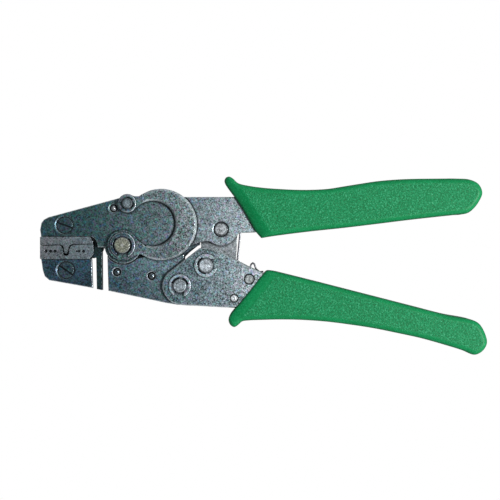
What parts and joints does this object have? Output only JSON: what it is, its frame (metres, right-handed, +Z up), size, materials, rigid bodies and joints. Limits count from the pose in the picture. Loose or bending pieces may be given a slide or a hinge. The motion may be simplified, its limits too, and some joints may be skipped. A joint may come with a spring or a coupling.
{
  "type": "ratchet crimping tool",
  "caption": "Hand-held ratchet crimping tool for open-barrel contacts, with swinging lower jaw, toggle link, ratchet pawl, horseshoe spring plates and grained grips.",
  "frame": {"origin": "on the main pivot axis, at the flat lower end face of the main pivot pin, on the plane the tool rests on", "axes": "+X from the main pivot towards the handles, +Y towards the upper jaw side, +Z up along the pivot axes"},
  "size_m": [0.2102, 0.0838, 0.0192],
  "materials": {
    "frame_steel": "blue-black oxidised, mottled",
    "handle_plate_steel": "grey oxidised, mottled",
    "spring_steel": "tempered, mottled",
    "die_steel": "ground",
    "pin_steel": "turned",
    "ring_steel": "phosphated",
    "wire_steel": "drawn wire",
    "screw_steel": "black oxide",
    "grip_green": "finely grained moulding with smooth lips"
  },
  "bodies": {
    "frame_upper": {"upper_plate_front": "frame_steel", "upper_plate_rear": "frame_steel", "upper_jaw_spacer": "frame_steel", "upper_handle_spacer": "frame_steel", "upper_handle_rivets": "pin_steel", "spring_plate_front": "spring_steel", "spring_plate_rear": "spring_steel", "upper_die": "die_steel", "upper_die_screw": "screw_steel", "main_pivot_pin": "pin_steel", "main_pivot_e_rings": "ring_steel", "spring_anchor_pin": "pin_steel", "spring_anchor_e_rings": "ring_steel", "upper_dowel": "pin_steel", "link_pin": "pin_steel", "upper_grip": "grip_green"},
    "jaw_lower": {"lower_jaw_core": "frame_steel", "lower_jaw_plate_front": "frame_steel", "lower_jaw_plate_rear": "frame_steel", "tip_plate_front": "frame_steel", "tip_plate_rear": "frame_steel", "lower_die": "die_steel", "lower_die_screw": "screw_steel", "lower_jaw_dowels": "pin_steel", "terminal_stop": "frame_steel", "stop_pins": "pin_steel"},
    "link": {"toggle_link": "frame_steel"},
    "handle_lower": {"handle_plate_front": "handle_plate_steel", "handle_plate_rear": "handle_plate_steel", "handle_spacer": "frame_steel", "handle_rivets": "pin_steel", "jaw_pin": "pin_steel", "toggle_pin": "pin_steel", "jaw_pin_e_rings": "ring_steel", "toggle_e_rings": "ring_steel", "link_washers": "frame_steel", "spring_post": "pin_steel", "pawl_rivet": "pin_steel", "return_spring": "wire_steel", "pawl_spring": "wire_steel", "lower_grip": "grip_green"},
    "pawl": {"ratchet_pawl": "frame_steel"}
  },
  "joints": [
    {"name": "handle_squeeze", "type": "hinge", "parent": "link", "child": "handle_lower", "pos_m": [0.0391, -0.0095, 0.0096], "axis": [0, 0, 1], "range_deg": [-40, 0.5]},
    {"name": "link_swing", "type": "hinge", "parent": "frame_upper", "child": "link", "pos_m": [0.0461, 0.0075, 0.0096], "axis": [0, 0, 1], "range_deg": [-0.22, 17.25]},
    {"name": "jaw_close", "type": "hinge", "parent": "frame_upper", "child": "jaw_lower", "pos_m": [0, 0, 0.0096], "axis": [0, 0, 1], "range_deg": [-0.1, 8.35]},
    {"name": "pawl_swing", "type": "hinge", "parent": "handle_lower", "child": "pawl", "pos_m": [0.0523, -0.0249, 0.0096], "axis": [0, 0, 1], "range_deg": [-15, 15], "stiffness_Nm_per_rad": 0.01}
  ],
  "couplings": [
    {"joint": "link_swing", "follows": "handle_squeeze", "ratio": -0.43},
    {"joint": "jaw_close", "follows": "handle_squeeze", "ratio": -0.2075}
  ]
}
